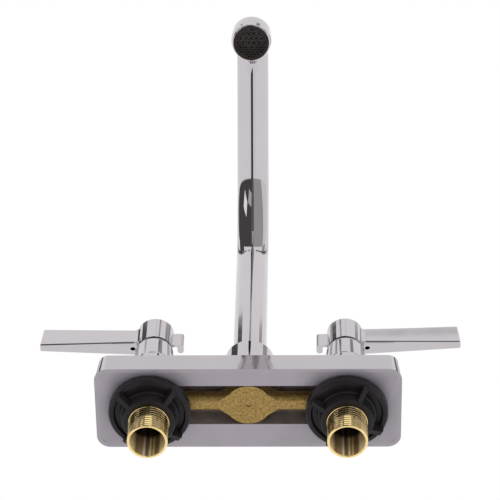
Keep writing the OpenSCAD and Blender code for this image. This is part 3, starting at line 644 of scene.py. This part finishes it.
spout_tube()
spout_nut()
aerator_housing()
for side in SIDES:
    bonnet(side)
for side in SIDES:
    inlet_shank(side)
base_body()
brass_manifold()
for side in SIDES:
    mounting_nut(side)
    lever(side)

# Floor and lamps, each lamp with its place and its power in watts
FLOOR_SIZE, FLOOR_Z, FLOOR_GREY, FLOOR_ROUGHNESS = 60.0, -1.6, 0.88, 0.9
LAMPS = {"key": ((-0.9, -1.2, 0.5), 6.0), "fill": ((1.1, -0.9, -0.6), 4.0)}
LAMP_SIZE, LAMP_AIM = 0.9, Vector((0, 0, 0.1))


def add_floor():
    bpy.ops.mesh.primitive_plane_add(size=FLOOR_SIZE, location=(0, 0, FLOOR_Z))
    floor = bpy.context.object
    floor.name = "floor"
    material = bpy.data.materials.new("floor")
    material.use_nodes = True
    shader = material.node_tree.nodes["Principled BSDF"]
    shader.inputs["Base Color"].default_value = (FLOOR_GREY, FLOOR_GREY, FLOOR_GREY, 1)
    shader.inputs["Roughness"].default_value = FLOOR_ROUGHNESS
    floor.data.materials.append(material)
    floor.visible_glossy = False


def add_lamp(name, place, power):
    data = bpy.data.lights.new(name, "AREA")
    data.shape = "RECTANGLE"
    data.size = LAMP_SIZE
    data.size_y = LAMP_SIZE
    data.energy = power
    lamp = bpy.data.objects.new(name, data)
    scene.collection.objects.link(lamp)
    lamp.location = place
    lamp.rotation_euler = (LAMP_AIM - Vector(place)).to_track_quat("-Z", "Y").to_euler()
    lamp.visible_glossy = False


add_floor()
for name, (place, power) in LAMPS.items():
    add_lamp(name, place, power)

# What polished metal sees round it: a white studio with dark openings. Each patch covers those
# before it, and has an azimuth range (0 to the front, + to the right), an elevation range, the
# least angle above the plane square to the spout's reach, and a brightness.
ANY = -90
STUDIO = [
    (-180, 180, -90, -48, ANY, 0.95),
    (-23, 4, -90, -46, ANY, 0.07),
    (68, 100, -70, 46, 5, 0.90),
    (66, 90, 46, 56.2, 5, 0.42),
    (7, 68, -70, 46, 5, 0.46),
    (-8, 7, -70, 46, 5, 0.15),
    (-104, -8, -70, 46, 5, 0.085),
    (-120, -104, 33, 46, 5, 0.30),
    (-95, -58, 45, 56.3, 5, 0.085),
    (-64, -42, -14, 5, 5, 1.2),
    (-35, -12, -34, -16, 5, 0.6),
    (2.5, 7, 55.65, 56.3, 5, 0.74),
    (-180, 180, 66, 90, ANY, 0.88),
]

# An upright or slightly tapering wall sees one narrow band of elevation from the photograph's
# viewpoint, so the bonnets and the shanks have their own: azimuth range and brightness.
BONNETS_SEE = (61.4, 64.2, [
    (-122, -82, 0.12), (-66, -52, 0.45), (30, 50, 0.35), (84, 112, 0.22),
])
SHANKS_SEE = (52.4, 54.85, [
    (-180, 180, 0.70), (-128, -110, 0.36), (-110, -76, 0.08), (-76, -66, 0.18),
    (-66, -52, 0.34), (-52, -42, 0.24), (-42, -29, 0.85), (-29, -18, 0.22),
    (-18, 22, 1.0), (22, 60, 0.20), (60, 96, 0.13), (96, 110, 0.32),
])
for low, high, stretches in (BONNETS_SEE, SHANKS_SEE):
    STUDIO += [(left, right, low, high, ANY, brightness) for left, right, brightness in stretches]

# Half widths of the patches' soft edges
SOFT_AZIMUTH, SOFT_ELEVATION, SOFT_LIFT = 0.35, 0.12, 0.6

# Light from all round on everything but reflections
SOFT_LIGHT, SOFT_STRENGTH = (0.97, 0.97, 1.0), 0.85
WHITE = (1, 1, 1)


def studio_level(tree):
    """The studio's brightness in the direction that a reflected ray takes."""

    def in_degrees(operation, *values):
        return maths(tree, "MULTIPLY", maths(tree, operation, *values), 180 / pi)

    def above(value, edge, soft):
        return map_range(tree, value, edge - soft, edge + soft, interpolation="SMOOTHSTEP")

    def between(value, low, high, soft):
        return maths(tree, "SUBTRACT", above(value, low, soft), above(value, high, soft))

    x, y, z = split(tree, tree.nodes.new("ShaderNodeTexCoord").outputs["Generated"])
    azimuth = in_degrees("ARCTAN2", x, maths(tree, "MULTIPLY", y, -1.0))
    elevation = in_degrees("ARCSINE", z)
    reach = along(BEND_ANGLE)
    lift = in_degrees("ARCSINE", maths(
        tree, "ADD", maths(tree, "MULTIPLY", y, reach.y), maths(tree, "MULTIPLY", z, reach.z)))
    level = 1.0
    for left, right, low, high, least, brightness in STUDIO:
        inside = between(elevation, low, high, SOFT_ELEVATION)
        if least > ANY:
            inside = maths(tree, "MULTIPLY", inside, above(lift, least, SOFT_LIFT))
        if right - left < 360:
            inside = maths(tree, "MULTIPLY", inside, between(azimuth, left, right, SOFT_AZIMUTH))
        change = maths(tree, "MULTIPLY", inside, maths(tree, "SUBTRACT", brightness, level))
        level = maths(tree, "ADD", level, change)
    return level


def world_light():
    """Soft light, the studio for reflections, and plain white behind the object."""
    world = bpy.data.worlds.new("world")
    scene.world = world
    world.use_nodes = True
    tree = world.node_tree
    tree.nodes.clear()

    def background(colour, strength):
        inputs = {"Color": (*colour, 1), "Strength": strength}
        return new_node(tree, "ShaderNodeBackground", inputs).outputs[0]

    def choose(share, first, second):
        return new_node(tree, "ShaderNodeMixShader", {0: share, 1: first, 2: second}).outputs[0]

    ray = tree.nodes.new("ShaderNodeLightPath").outputs
    clear = maths(tree, "MAXIMUM", ray["Is Camera Ray"], ray["Is Transmission Ray"])
    soft = background(SOFT_LIGHT, SOFT_STRENGTH)
    mirrored = background(WHITE, studio_level(tree))
    light = choose(ray["Is Glossy Ray"], soft, mirrored)
    new_node(tree, "ShaderNodeOutputWorld", {"Surface": choose(clear, light, background(WHITE, 1.0))})


world_light()
